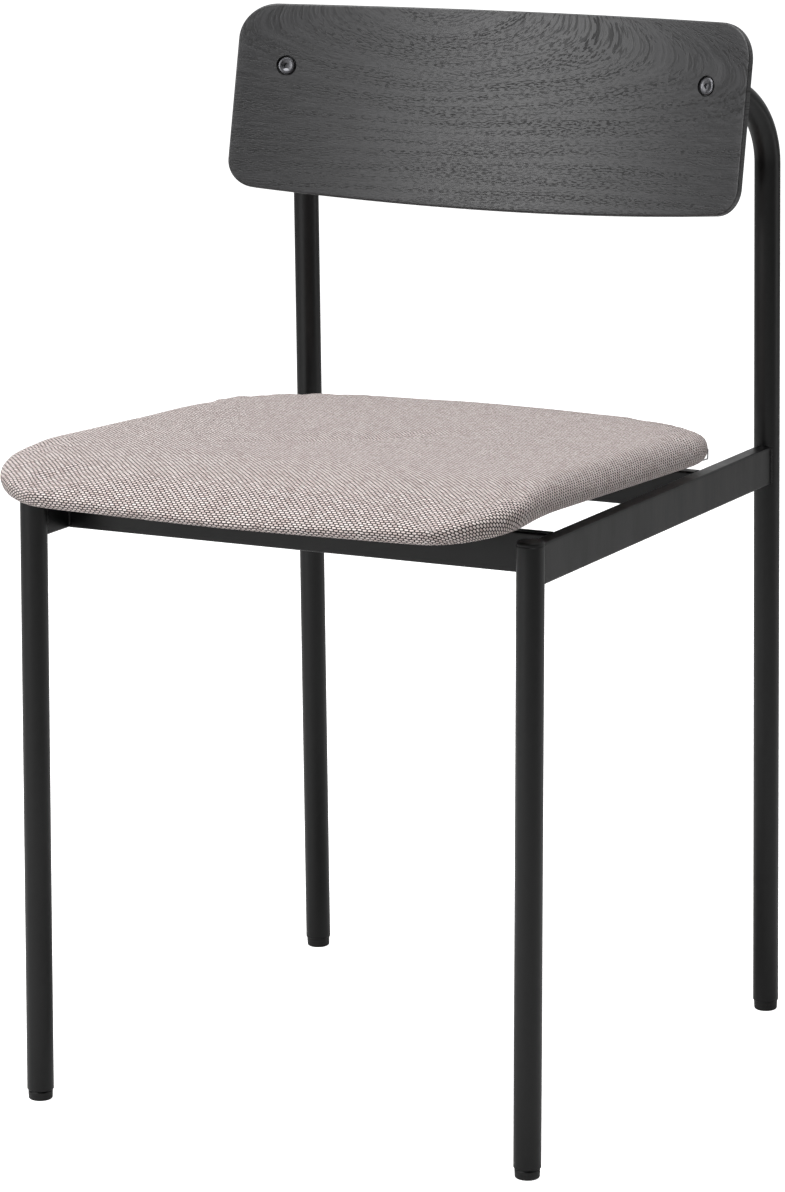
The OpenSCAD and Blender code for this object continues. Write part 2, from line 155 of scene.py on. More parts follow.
class Graph:
    """Builds one material's node graph."""

    def __init__(self, name):
        self.mat = bpy.data.materials.new(name)
        self.mat.use_nodes = True
        self.tree = self.mat.node_tree
        self.shader = self.tree.nodes["Principled BSDF"]
        self.coords = self.tree.nodes.new("ShaderNodeTexCoord").outputs["Object"]

    def put(self, socket, value):
        """Links an output to the socket, or sets a constant on it."""
        if hasattr(value, "is_output"):
            self.tree.links.new(value, socket)
        else:
            socket.default_value = value

    def math(self, operation, a, b=0.0):
        made = self.tree.nodes.new("ShaderNodeMath")
        made.operation = operation
        for index, value in enumerate((a, b)):
            self.put(made.inputs[index], value)
        return made.outputs[0]

    def scaled(self, place, scale):
        """The place, with each axis scaled by its own factor."""
        made = self.tree.nodes.new("ShaderNodeMapping")
        self.put(made.inputs["Vector"], place)
        made.inputs["Scale"].default_value = scale
        return made.outputs[0]

    def noise(self, scale, detail=3.0, rough=0.55, of=None, stretch=None):
        made = self.tree.nodes.new("ShaderNodeTexNoise")
        where = of or self.coords
        if stretch:
            where = self.scaled(where, stretch)
        self.put(made.inputs["Vector"], where)
        made.inputs["Scale"].default_value = scale
        made.inputs["Detail"].default_value = detail
        made.inputs["Roughness"].default_value = rough
        return made.outputs[0]

    def ramp(self, value, *stops):
        """A colour ramp; each stop is (position, (r, g, b))."""
        made = self.tree.nodes.new("ShaderNodeValToRGB")
        self.put(made.inputs[0], value)
        band = made.color_ramp
        band.elements[0].position, first = stops[0]
        band.elements[0].color = (*first, 1.0)
        band.elements[1].position, last = stops[-1]
        band.elements[1].color = (*last, 1.0)
        for place, colour in stops[1:-1]:
            band.elements.new(place).color = (*colour, 1.0)
        return made.outputs[0]

    def span(self, value, low, high, out_low, out_high):
        """Maps low..high to out_low..out_high, clamped."""
        made = self.tree.nodes.new("ShaderNodeMapRange")
        for index, item in enumerate((value, low, high, out_low, out_high)):
            self.put(made.inputs[index], item)
        return made.outputs[0]

    def mix(self, share, a, b):
        """Colour a where share is 0 and b where it is 1."""
        made = self.tree.nodes.new("ShaderNodeMix")
        made.data_type = "RGBA"
        self.put(made.inputs["Factor"], share)
        for socket, value in ((made.inputs[6], a), (made.inputs[7], b)):
            self.put(socket, value if hasattr(value, "is_output") else (*value, 1.0))
        return made.outputs[2]

    def bump(self, height, strength, distance, under=None):
        made = self.tree.nodes.new("ShaderNodeBump")
        self.put(made.inputs["Height"], height)
        made.inputs["Strength"].default_value = strength
        made.inputs["Distance"].default_value = distance
        if under:
            self.put(made.inputs["Normal"], under)
        return made.outputs[0]

    def finish(self, colour, rough, normal=None, **extra):
        """Sets the shader's inputs; extra names have underscores for spaces."""
        self.put(self.shader.inputs["Base Color"], colour)
        self.put(self.shader.inputs["Roughness"], rough)
        if normal:
            self.put(self.shader.inputs["Normal"], normal)
        for key, value in extra.items():
            self.put(self.shader.inputs[key.replace("_", " ")], value)
        return self.mat


def powder_coat():
    g = Graph("powder_coat")
    cloud = g.noise(9.0, 4.0)
    orange_peel = g.noise(900.0, 2.0, 0.5)
    scuffs = g.noise(60.0, 6.0, 0.7, stretch=(1.0, 1.0, 0.15))
    colour = g.ramp(cloud, (0.3, (0.0011, 0.0011, 0.0012)), (0.7, (0.0019, 0.0019, 0.002)))
    rough = g.span(scuffs, 0.3, 0.75, 0.30, 0.42)
    normal = g.bump(orange_peel, 0.12, 0.0002)
    return g.finish(colour, rough, normal, Specular_IOR_Level=0.36)


def moulded_plastic(name="moulded_plastic", tone=0.004, rough_at=0.45):
    g = Graph(name)
    cloud = g.noise(40.0, 3.0)
    grain = g.noise(1800.0, 2.0)
    colour = g.ramp(cloud, (0.3, (tone * 0.85,) * 3), (0.7, (tone * 1.15,) * 3))
    rough = g.span(grain, 0.3, 0.7, rough_at - 0.06, rough_at + 0.08)
    return g.finish(colour, rough, g.bump(grain, 0.2, 0.0001), Specular_IOR_Level=0.35)


def rubber():
    return moulded_plastic("rubber", 0.006, 0.8)


def gunmetal():
    g = Graph("gunmetal")
    cloud = g.noise(120.0, 4.0)
    fine = g.noise(900.0, 3.0, 0.6, stretch=(1.0, 8.0, 1.0))
    colour = g.ramp(cloud, (0.3, (0.09, 0.09, 0.095)), (0.7, (0.14, 0.14, 0.15)))
    rough = g.span(fine, 0.3, 0.7, 0.28, 0.44)
    return g.finish(colour, rough, g.bump(fine, 0.15, 0.0001), Metallic=1.0)


def zinc():
    g = Graph("zinc")
    cloud = g.noise(200.0, 4.0)
    colour = g.ramp(cloud, (0.3, (0.46, 0.47, 0.49)), (0.7, (0.62, 0.62, 0.63)))
    rough = g.span(cloud, 0.3, 0.7, 0.25, 0.4)
    return g.finish(colour, rough, g.bump(cloud, 0.1, 0.0001), Metallic=1.0)


def dust_cloth():
    g = Graph("dust_cloth")
    fibres = g.noise(500.0, 5.0, 0.75)
    dots = g.tree.nodes.new("ShaderNodeTexVoronoi")
    g.put(dots.inputs["Vector"], g.coords)
    dots.inputs["Scale"].default_value = 420.0
    dimple = g.span(dots.outputs["Distance"], 0.1, 0.5, 0.0, 1.0)
    colour = g.ramp(fibres, (0.3, (0.008, 0.008, 0.008)), (0.7, (0.028, 0.028, 0.03)))
    normal = g.bump(dimple, 0.4, 0.0003, g.bump(fibres, 0.3, 0.0003))
    return g.finish(colour, 0.95, normal)


def birch():
    g = Graph("birch")
    figure = g.noise(18.0, 5.0, 0.6, stretch=(0.4, 5.0, 5.0))
    pores = g.noise(260.0, 3.0, 0.6, stretch=(0.08, 1.0, 1.0))
    colour = g.ramp(figure, (0.3, (0.46, 0.30, 0.16)), (0.7, (0.64, 0.45, 0.27)))
    colour = g.mix(g.span(pores, 0.6, 0.75, 0.0, 0.4), colour, (0.25, 0.14, 0.06))
    return g.finish(colour, g.span(pores, 0.3, 0.7, 0.55, 0.75), g.bump(pores, 0.25, 0.0003))


def foam():
    g = Graph("foam")
    cells = g.tree.nodes.new("ShaderNodeTexVoronoi")
    g.put(cells.inputs["Vector"], g.coords)
    cells.inputs["Scale"].default_value = 900.0
    colour = g.ramp(cells.outputs["Distance"], (0.1, (0.52, 0.44, 0.27)), (0.6, (0.78, 0.72, 0.53)))
    return g.finish(colour, 0.95, g.bump(cells.outputs["Distance"], 0.5, 0.0005))


PAINT = powder_coat()
PLASTIC = moulded_plastic()
RUBBER = rubber()
GUNMETAL = gunmetal()
ZINC = zinc()
LINING = dust_cloth()
BIRCH = birch()
FOAM = foam()
FINISHES = {
    "frame_steel": PAINT, "black_plastic": PLASTIC, "black_rubber": RUBBER, "bolt_steel": GUNMETAL,
    "zinc_steel": ZINC, "lining_cloth": LINING, "board_ply": BIRCH, "seat_foam": FOAM,
}


for row in frame["record"]["subparts"]:
    finish = FINISHES.get(row["material_slot"])
    if finish:
        for material_slot in NODES[row["node"]].material_slots:
            material_slot.material = finish

# ---------- geometry helpers ----------


def skin_mesh(name, lofts):
    """One mesh of closed skins, each through rings of equal point counts and capped at both ends."""
    bm = bmesh.new()
    for rings in lofts:
        rows = [[bm.verts.new(p) for p in ring] for ring in rings]
        count = len(rows[0])
        for low, high in zip(rows, rows[1:]):
            for i in range(count):
                j = (i + 1) % count
                bm.faces.new((low[i], low[j], high[j], high[i]))
        bm.faces.new(rows[0][::-1])
        bm.faces.new(rows[-1])
    bmesh.ops.recalc_face_normals(bm, faces=bm.faces)
    mesh = bpy.data.meshes.new(name)
    bm.to_mesh(mesh)
    bm.free()
    return mesh


def loft(name, rings, mat, slot_name, *stands_for, smooth_angle=35.0):
    """A closed skin through rings of equal point counts, capped at both ends."""
    mesh = skin_mesh(name, [rings])
    return add_piece(name, mesh, mat, slot_name, *stands_for, smooth_angle=smooth_angle)


def add_piece(name, mesh, mat, slot_name, *stands_for, smooth_angle=35.0):
    """Puts a mesh in the scene as a piece, in place of the named CAD nodes."""
    obj = bpy.data.objects.new(name, mesh)
    bpy.context.scene.collection.objects.link(obj)
    mesh.materials.clear()
    mesh.materials.append(mat)
    mesh.shade_smooth()
    mesh.set_sharp_from_angle(angle=math.radians(smooth_angle))
    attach(obj, "root")
    if stands_for:
        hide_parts(*stands_for)
    return obj


def circle_ring(centre, along, radius, count=48, side=None):
    """Points of a circle about a line through the centre."""
    along = along.normalized()
    u = (side or along.orthogonal()).normalized()
    u = (u - along * u.dot(along)).normalized()
    v = along.cross(u)
    turn = math.tau / count
    return [centre + (u * math.cos(i * turn) + v * math.sin(i * turn)) * radius for i in range(count)]


def hexagon_ring(centre, along, across_flats, count=48, side=None):
    """As many points as circle_ring, on a hexagon."""
    ring = circle_ring(centre, along, 1.0, count, side)
    out = []
    for i, p in enumerate(ring):
        angle = (i * math.tau / count + math.pi / 6) % (math.pi / 3) - math.pi / 6
        out.append(centre + (p - centre) * (across_flats / 2 / math.cos(angle)))
    return out


def arc_points(cx, cy, r, start, end, count):
    """count points of an arc in degrees, without its last point."""
    steps = [math.radians(start + (end - start) * i / count) for i in range(count)]
    return [(cx + r * math.cos(a), cy + r * math.sin(a)) for a in steps]


def mix_points(a, b, count):
    """count points from a towards b, without b."""
    return [(a[0] + (b[0] - a[0]) * i / count, a[1] + (b[1] - a[1]) * i / count) for i in range(count)]


def on_side(rings, sign):
    """The rings as they are for sign 1, mirrored to the left for sign -1."""
    return [[Vector((p.x * sign, p.y, p.z)) for p in ring] for ring in rings]


MM = 0.001
SIDES = (("right", 1.0), ("left", -1.0))
ACROSS = Vector((1.0, 0.0, 0.0))
UPRIGHT = Vector((0.0, 0.0, 1.0))
TUBE_CHAMFER = 0.5 * MM
FOOT_CHAMFER = 0.6 * MM

# ---------- layout, repeated from the CAD source ----------

TUBE_R = 9.5 * MM
RAIL_TOP = 432.5 * MM
RAIL_HEIGHT = 28.0 * MM
LEG_DEPTH = 428.0 * MM
LEAN = math.radians(1.7)
BEND_R = 60.0 * MM
BEND_HEIGHT = 689.5 * MM
BEND_REACH = 64.0 * MM
WRAP = math.radians(16.3)
TILT = math.radians(11.4)
PANEL_T = 8.0 * MM
WASHER_T = 1.5 * MM
BOLT_RISE = 23.5 * MM
GLIDE_H = 7.0 * MM

low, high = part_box("front_leg_right")
LEG_X = (low[0] + high[0]) / 2
FRONT_Y = (low[1] + high[1]) / 2
REAR_Y = FRONT_Y + LEG_DEPTH

POST_WAY = Vector((0.0, -math.sin(LEAN), math.cos(LEAN)))
END_WAY = Vector((
    -math.sin(WRAP), -math.cos(WRAP) * math.cos(TILT), math.cos(WRAP) * math.sin(TILT)
))
BEND_ANGLE = math.acos(POST_WAY.dot(END_WAY))
BEND_SIDE = (END_WAY - POST_WAY * math.cos(BEND_ANGLE)).normalized()
BEND_TANGENT = BEND_R * math.tan(BEND_ANGLE / 2)
POST_LENGTH = BEND_HEIGHT / math.cos(LEAN) - BEND_TANGENT
FOOT = Vector((LEG_X, REAR_Y, 0.0))
BEND_START = FOOT + POST_WAY * POST_LENGTH
BEND_END = BEND_START + BEND_SIDE * (BEND_R * (1 - math.cos(BEND_ANGLE)))
BEND_END += POST_WAY * (BEND_R * math.sin(BEND_ANGLE))
BOSS_LENGTH = BEND_REACH - BEND_TANGENT - WASHER_T
PANEL_BACK_POINT = BEND_END + END_WAY * (BOSS_LENGTH + WASHER_T)
PANEL_FRONT_POINT = PANEL_BACK_POINT + END_WAY * PANEL_T
PANEL_R = PANEL_FRONT_POINT.x / math.sin(WRAP)
SAGITTA = PANEL_R * (1 - math.cos(WRAP))
PANEL_ORIGIN = Vector((
    0.0,
    PANEL_FRONT_POINT.y + SAGITTA * math.cos(TILT) - BOLT_RISE * math.sin(TILT),
    PANEL_FRONT_POINT.z - SAGITTA * math.sin(TILT) - BOLT_RISE * math.cos(TILT),
))

# ---------- tubes, caps and glides ----------


def front_leg(tag, sign):
    """A straight tube with chamfered ends."""
    foot = Vector((LEG_X * sign, FRONT_Y, 0.0))
    spots = ((GLIDE_H, TUBE_R - FOOT_CHAMFER), (GLIDE_H + FOOT_CHAMFER, TUBE_R), (RAIL_TOP / 2, TUBE_R))
    spots += ((RAIL_TOP - TUBE_CHAMFER, TUBE_R), (RAIL_TOP, TUBE_R - TUBE_CHAMFER))
    rings = [circle_ring(foot + UPRIGHT * z, UPRIGHT, r, side=ACROSS) for z, r in spots]
    loft("front_leg_tube_" + tag, rings, PAINT, "frame_steel", "front_leg_" + tag)


def rear_leg(tag, sign):
    """A leaning tube, its bend, and its closed end at the panel."""
    rings = []
    across = POST_WAY.cross(BEND_SIDE)
    straight = ((GLIDE_H, TUBE_R - FOOT_CHAMFER), (GLIDE_H + FOOT_CHAMFER, TUBE_R), (RAIL_TOP, TUBE_R))
    for z, r in straight:
        rings.append(circle_ring(FOOT + POST_WAY * z, POST_WAY, r, side=across))
    steps = 26
    for i in range(steps + 1):
        a = BEND_ANGLE * i / steps
        way = POST_WAY * math.cos(a) + BEND_SIDE * math.sin(a)
        at = BEND_START + BEND_SIDE * (BEND_R * (1 - math.cos(a))) + POST_WAY * (BEND_R * math.sin(a))
        rings.append(circle_ring(at, way, TUBE_R, side=across))
    tip = BEND_END + END_WAY * BOSS_LENGTH
    rings.append(circle_ring(tip - END_WAY * TUBE_CHAMFER, END_WAY, TUBE_R, side=across))
    rings.append(circle_ring(tip, END_WAY, TUBE_R - TUBE_CHAMFER, side=across))
    loft("rear_leg_tube_" + tag, on_side(rings, sign), PAINT, "frame_steel",
         "rear_leg_" + tag, "back_boss_" + tag)


def turned(name, foot, axis, spots, mat, slot_name, *stands_for):
    """A turned piece: spots are (height, radius) up the axis."""
    rings = [circle_ring(foot + axis * z, axis, r, side=ACROSS) for z, r in spots]
    return loft(name, rings, mat, slot_name, *stands_for, smooth_angle=50.0)


def cap_spots():
    """Low domed cap with a rounded rim, from its underside up."""
    rim, height = 1.9, 3.0
    spots = [(-6.0, 7.6), (0.0, 7.8), (0.05, 9.3)]
    for a in range(0, 91, 15):
        t = math.radians(a)
        spots.append((height - rim + rim * math.sin(t), 9.4 - rim + rim * math.cos(t)))
    spots += [(height + 0.15, 5.0), (height + 0.2, 1.0)]
    return [(z * MM, r * MM) for z, r in spots]


def glide_spots():
    """Glide with a rounded foot, a waist line and a stem that goes up inside the tube."""
    spots = [(0.0, 6.2), (0.15, 7.0)]
    for a in range(-75, -14, 15):
        t = math.radians(a)
        spots.append((1.6 + 1.6 * math.sin(t), 7.0 + 1.6 * math.cos(t)))
    spots += [(5.4, 8.75), (5.9, 8.8), (6.3, 8.55), (6.6, 8.2), (7.0, 8.1), (13.0, 7.6)]
    return [(z * MM, r * MM) for z, r in spots]


for tag, sign in SIDES:
    front_leg(tag, sign)
    rear_leg(tag, sign)
    front_foot = Vector((LEG_X * sign, FRONT_Y, 0.0))
    turned("front_cap_" + tag, front_foot + UPRIGHT * RAIL_TOP, UPRIGHT, cap_spots(),
           PLASTIC, "black_plastic", "front_leg_cap_" + tag)
    turned("front_foot_glide_" + tag, front_foot, UPRIGHT, glide_spots(),
           PLASTIC, "black_plastic", "front_glide_" + tag)

# ---------- welds ----------

RAIL_HALF = 6.0 * MM
NOTCH = math.sqrt(TUBE_R ** 2 - RAIL_HALF ** 2)
BAR_PLACES = (44.0 * MM, 296.0 * MM)
LEG_BEAD = 1.3 * MM
BAR_BEAD = 1.1 * MM


def bead(start, end, radius):
    """Rings of one weld bead, rippled along its length."""
    way = (end - start).normalized()
    length = (end - start).length
    count = 22
    rings = [circle_ring(start, way, radius * 0.3, 12)]
    for i in range(count + 1):
        at = start + way * (length * i / count)
        swell_by = 0.9 + 0.16 * math.cos(i * math.pi) + 0.25 * noise(at * 420.0)
        rings.append(circle_ring(at + way * radius * 0.2, way, radius * swell_by, 12))
    rings.append(circle_ring(end + way * radius * 0.4, way, radius * 0.3, 12))
    return rings


def welds():
    """Beads in the corners between rails and tubes, and between crossbars and rails."""
    low_z, high_z = RAIL_TOP - RAIL_HEIGHT + 1.0 * MM, RAIL_TOP - 1.6 * MM
    beads = []
    for sign in (1.0, -1.0):
        for face in (1.0, -1.0):
            x = LEG_X * sign + RAIL_HALF * face
            y = FRONT_Y + NOTCH
            beads.append(bead(Vector((x, y, low_z)), Vector((x, y, high_z)), LEG_BEAD))
            ends = [Vector((x, REAR_Y - NOTCH - z * math.tan(LEAN), z)) for z in (low_z, high_z)]
            beads.append(bead(ends[0], ends[1], LEG_BEAD))
            for place in BAR_PLACES:
                x_bar = (LEG_X - RAIL_HALF) * sign
                y_bar = FRONT_Y + place + RAIL_HALF * face
                ends = [Vector((x_bar, y_bar, z)) for z in (low_z, high_z)]
                beads.append(bead(ends[0], ends[1], BAR_BEAD))
    add_piece("frame_welds", skin_mesh("frame_welds", beads), PAINT, "frame_steel", smooth_angle=60.0)


welds()

# ---------- back panel and bolts ----------


def panel_outline(inset):
    """Outline seen square on, in millimetres, drawn inside by the inset."""
    w, h = 205.25 - inset, 68.0 - inset
    top_r, low_r = 28.0 - inset, 20.0 - inset
    top_rise, low_rise = 6.0, 5.5
    at_top = top_rise * (1 - ((w - top_r) / w) ** 2)
    at_low = low_rise * (1 - ((w - low_r) / w) ** 2)
    points = arc_points(w - low_r, low_r - h - at_low, low_r, -86, 0, 14)
    points += mix_points((w, low_r - h - at_low), (w, h + at_top - top_r), 22)
    points += arc_points(w - top_r, h + at_top - top_r, top_r, 0, 86, 16)
    for i in range(90):
        t = (1 - i / 45) * (w - top_r) / w
        points.append((t * w, h + top_rise * (1 - t * t)))
    points += arc_points(top_r - w, h + at_top - top_r, top_r, 94, 180, 16)
    points += mix_points((-w, h + at_top - top_r), (-w, low_r - h - at_low), 22)
    points += arc_points(low_r - w, low_r - h - at_low, low_r, 180, 266, 14)
    for i in range(90):
        t = (i / 45 - 1) * (w - low_r) / w
        points.append((t * w, -h - low_rise * (1 - t * t)))
    return points


def on_panel(x, z, depth):
    """A point of the curved panel, depth behind its front face, all in metres."""
    y = math.sqrt((PANEL_R + depth) ** 2 - x * x) - PANEL_R
    return PANEL_ORIGIN + Vector((0.0, y * math.cos(TILT) + z * math.sin(TILT),
                                  z * math.cos(TILT) - y * math.sin(TILT))) + Vector((x, 0.0, 0.0))


def panel_rings():
    """Rings from the middle of the front face, over the rounded edge, to the middle of the back."""
    thick, edge = PANEL_T / MM, 1.5
    face_rings = 30
    plan = []
    for i in range(1, face_rings + 1):
        plan.append((edge, i / (face_rings + 1), 0.0))
    for a in range(90, -1, -15):
        t = math.radians(a)
        plan.append((edge * (1 - math.cos(t)), 1.0, edge * (1 - math.sin(t))))
    for a in range(0, 91, 15):
        t = math.radians(a)
        plan.append((edge * (1 - math.cos(t)), 1.0, thick - edge * (1 - math.sin(t))))
    for i in range(face_rings, 0, -1):
        plan.append((edge, i / (face_rings + 1), thick))
    return [[on_panel(x * s * MM, z * s * MM, d * MM) for x, z in panel_outline(e)] for e, s, d in plan]


def cut(obj, cutters):
    """Takes the cutters out of obj's mesh."""
    for cutter in cutters:
        change = obj.modifiers.new("cut", "BOOLEAN")
        change.operation = "DIFFERENCE"
        change.solver = "EXACT"
        change.object = cutter
    mesh = bpy.data.meshes.new_from_object(obj.evaluated_get(bpy.context.evaluated_depsgraph_get()))
    obj.modifiers.clear()
    obj.data = mesh
    for cutter in cutters:
        bpy.data.objects.remove(cutter)


def hole_cutter(sign):
    """A countersunk recess with a clearance hole, as a solid."""
    spots = ((4.0, 12.1), (0.45, 8.1), (-0.05, 7.6), (-3.0, 7.6), (-3.0, 3.3), (-12.0, 3.3))
    rings = [circle_ring(PANEL_FRONT_POINT + END_WAY * (d * MM), END_WAY, r * MM, 64) for d, r in spots]
    obj = bpy.data.objects.new("cutter", skin_mesh("cutter", [on_side(rings, sign)]))
    bpy.context.scene.collection.objects.link(obj)
    return obj


def bolt_rings():
    """Flat head with a chamfer, a dished hexagon socket and a shank."""
    side = Vector((0.0, 0.3, 1.0))
    seat = PANEL_FRONT_POINT - END_WAY * (3.0 * MM)
    rings = []
    for d, r in ((-22.0, 2.7), (-21.6, 3.0), (-0.001, 3.0), (0.0, 6.2), (0.15, 6.3), (2.35, 6.3),
                 (2.95, 5.75), (3.0, 5.6), (3.0, 4.1), (2.95, 3.95)):
        rings.append(circle_ring(seat + END_WAY * (d * MM), END_WAY, r * MM, side=side))
    for d, af in ((2.45, 4.3), (2.4, 4.15), (0.7, 4.1), (0.6, 2.0)):
        rings.append(hexagon_ring(seat + END_WAY * (d * MM), END_WAY, af * MM, side=side))
    return rings


def wood():
    """Black-stained oak: a cathedral figure, long open pores and a satin lacquer."""
    g = Graph("stained_oak")
    panel_top, arch_left, arch_height, arch_fade = 0.749, 0.055, 0.42, -26.0
    split = g.tree.nodes.new("ShaderNodeSeparateXYZ")
    g.put(split.inputs[0], g.coords)
    x, z = split.outputs[0], split.outputs[2]
    bend = g.noise(6.0, 3.0, 0.5, stretch=(0.5, 1.0, 1.5))
    down = g.math("SUBTRACT", panel_top, z)
    fade = g.math("POWER", 2.718, g.math("MULTIPLY", down, arch_fade))
    off = g.math("ADD", x, arch_left)
    wing = g.math("SQRT", g.math("ADD", g.math("MULTIPLY", off, off), 0.0006))
    level = g.math("SUBTRACT", z, g.math("MULTIPLY", g.math("MULTIPLY", wing, fade), arch_height))
    level = g.math("ADD", level, g.math("MULTIPLY", bend, 0.012))
    along = g.tree.nodes.new("ShaderNodeCombineXYZ")
    g.put(along.inputs[0], g.math("MULTIPLY", x, 0.13))
    g.put(along.inputs[1], level)
    grain = along.outputs[0]
    ripple = g.noise(210.0, 2.0, 0.5, of=grain, stretch=(0.25, 1.0, 1.0))
    fibre = g.noise(700.0, 3.0, 0.65, of=grain, stretch=(0.4, 1.0, 1.0))
    dash = g.noise(1250.0, 1.0, 0.5, of=grain, stretch=(1.5, 1.0, 1.0))
    cloud = g.noise(9.0, 2.0, 0.5)
    rings = g.span(ripple, 0.40, 0.62, 0.0, 1.0)
    crowded = g.math("ADD", g.math("MULTIPLY", rings, 0.75), 0.25)
    pore = g.math("MULTIPLY", g.span(dash, 0.50, 0.60, 0.0, 1.0), crowded)
    colour = g.ramp(fibre, (0.3, (0.016, 0.016, 0.017)), (0.72, (0.040, 0.040, 0.042)))
    colour = g.mix(g.span(cloud, 0.3, 0.7, 0.0, 0.25), colour, (0.012, 0.012, 0.0125))
    colour = g.mix(g.math("MULTIPLY", rings, 0.22), colour, (0.010, 0.010, 0.0105))
    colour = g.mix(pore, colour, (0.004, 0.004, 0.0045))
    rough = g.math("ADD", g.span(fibre, 0.3, 0.7, 0.36, 0.46), g.math("MULTIPLY", pore, 0.25))
    height = g.math("SUBTRACT", g.math("MULTIPLY", fibre, 0.4), pore)
    return g.finish(colour, rough, g.bump(height, 0.5, 0.0002), Specular_IOR_Level=0.5)


WOOD = wood()
panel = loft("back_board", panel_rings(), WOOD, "stained_oak", "back_panel")
cut(panel, [hole_cutter(1.0), hole_cutter(-1.0)])
panel.data.shade_smooth()
panel.data.set_sharp_from_angle(angle=math.radians(35.0))
for tag, sign in SIDES:
    rings = on_side(bolt_rings(), sign)
    loft("bolt_" + tag, rings, GUNMETAL, "bolt_steel", "back_bolt_" + tag, smooth_angle=25.0)

# ---------- seat pad ----------

SEAT_TILT = math.radians(2.1)
SEAT_ORIGIN = Vector((0.0, FRONT_Y + BAR_PLACES[0], 450.0 * MM))
# The rest of this section is in millimetres, in the tilted frame of the seat.
PAD_HALF, PAD_FRONT, PAD_REAR, PAD_TOP = 197.5, -121.0, 315.0, 19.0
PAD_MIDDLE = (PAD_FRONT + PAD_REAR) / 2
CORNER_FRONT, CORNER_REAR = 60.0, 85.0
CROWN_FRONT, CROWN_REAR = 3.0, 9.0
NOSE_Z, NOSE_LENGTH = -10.5, 108.0
BOARD_BEND_START, BOARD_BEND_R = -5.0, 460.0
SIDE_ROLL, LOWER_ROLL, FOLD, CLOTH = 11.0, 8.0, 24.0, 1.2
TOP_RIM = 3.0
TOP_RINGS = 35
MOST_SWELL = 0.0022
SIM_FRAMES = 20
RIPPLE, RIPPLES_PER_M = 0.0004, 22.0
PICK_LENGTH, PICK_WIDTH, PICK_DRIFT = 0.0037, 0.0018, 0.0011


def on_seat(x, y, z):
    """A point of the tilted seat frame, millimetres in and metres out."""
    c, s = math.cos(SEAT_TILT), math.sin(SEAT_TILT)
    return SEAT_ORIGIN + Vector((x, y * c + z * s, z * c - y * s)) * MM


def board_under(y):
    """Height of the board's underside, flat and then bent down towards the front."""
    past = max(0.0, BOARD_BEND_START - y)
    return math.sqrt(BOARD_BEND_R ** 2 - past ** 2) - BOARD_BEND_R


def pad_top(y):
    """Height of the pad's top, flat and then falling to the nose on a quarter ellipse."""
    start = PAD_FRONT + NOSE_LENGTH
    if y >= start:
        return PAD_TOP
    t = min(1.0, (start - y) / NOSE_LENGTH)
    return NOSE_Z + (PAD_TOP - NOSE_Z) * math.sqrt(max(0.0, 1 - t * t))


def pad_outline(inset):
    """(x, y) round the pad, drawn inside by the inset, anticlockwise from above."""
    w, f, r = PAD_HALF - inset, PAD_FRONT + inset, PAD_REAR - inset
    cf, cr = CORNER_FRONT - inset, CORNER_REAR - inset
    front, rear = f + CROWN_FRONT, r - CROWN_REAR
    points = mix_points((w, front + cf), (w, rear - cr), 44)
    points += arc_points(w - cr, rear - cr, cr, 0, 84, 22)
    points += [(w - cr - (w - cr) * i / 26, r - CROWN_REAR * (1 - i / 26) ** 2) for i in range(52)]
    points += arc_points(cr - w, rear - cr, cr, 96, 180, 22)
    points += mix_points((-w, rear - cr), (-w, front + cf), 44)
    points += arc_points(cf - w, front + cf, cf, 180, 266, 22)
    points += [((w - cf) * (i / 26 - 1), f + CROWN_FRONT * (i / 26 - 1) ** 2) for i in range(52)]
    points += arc_points(w - cf, front + cf, cf, 274, 360, 22)
    return points


def outward(points):
    """Unit outward normals of a closed outline."""
    out = []
    for i in range(len(points)):
        ax, ay = points[i - 1]
        bx, by = points[(i + 1) % len(points)]
        length = math.hypot(bx - ax, by - ay)
        out.append(((by - ay) / length, (ax - bx) / length))
    return out


def sideness(normal):
    """1 where the edge is rolled over, 0 at the front where the top already falls to the nose."""
    return 1.0 if normal[1] >= 0 else normal[0] ** 2


def shrunk(points, share):
    """The outline drawn towards the middle of the pad."""
    return [(x * share, PAD_MIDDLE + (y - PAD_MIDDLE) * share) for x, y in points]


def pad_rings():
    """Rings from the middle of the top, over the edge, to the fold under the board."""
    normals = outward(pad_outline(0.0))
    keep = [sideness(n) for n in normals]
    rings, marks = [], []
    for i in range(1, TOP_RINGS):
        ring = shrunk(pad_outline(SIDE_ROLL + TOP_RIM), i / TOP_RINGS)
        rings.append([(x, y, pad_top(y)) for x, y in ring])
        marks.append("top")
    for a in (100, 90, 78, 66, 54, 42, 30, 20, 10, 0):
        t = math.radians(min(a, 90))
        inset = SIDE_ROLL * (1 - math.cos(t)) + (TOP_RIM if a > 90 else 0.0)
        drop = SIDE_ROLL * (1 - math.sin(t))
        rings.append([(x, y, pad_top(y) - drop * k) for (x, y), k in zip(pad_outline(inset), keep)])
        marks.append("top" if a > 50 else "edge")
    middle = [p[2] for p in rings[-1]]
    for a in (12, 26, 40, 55, 72, 90):
        t = math.radians(a)
        rows = []
        for (x, y), z in zip(pad_outline(LOWER_ROLL * (1 - math.cos(t))), middle):
            low_z = board_under(y) - CLOTH
            rows.append((x, y, low_z + (z - low_z) * (1 - math.sin(t))))
        rings.append(rows)
        marks.append("low")
    for inset, lift in ((12.0, 0.0), (17.0, 0.0), (22.0, 0.0), (FOLD - 0.4, 0.1), (FOLD, 0.6), (FOLD, 1.5)):
        rings.append([(x, y, board_under(y) - CLOTH + lift) for x, y in pad_outline(inset)])
        marks.append("under")
    for i in range(9, 1, -1):
        rings.append([(x, y, board_under(y) + 0.3) for x, y in shrunk(pad_outline(FOLD), i / 10)])
        marks.append("under")
    return rings, marks, normals


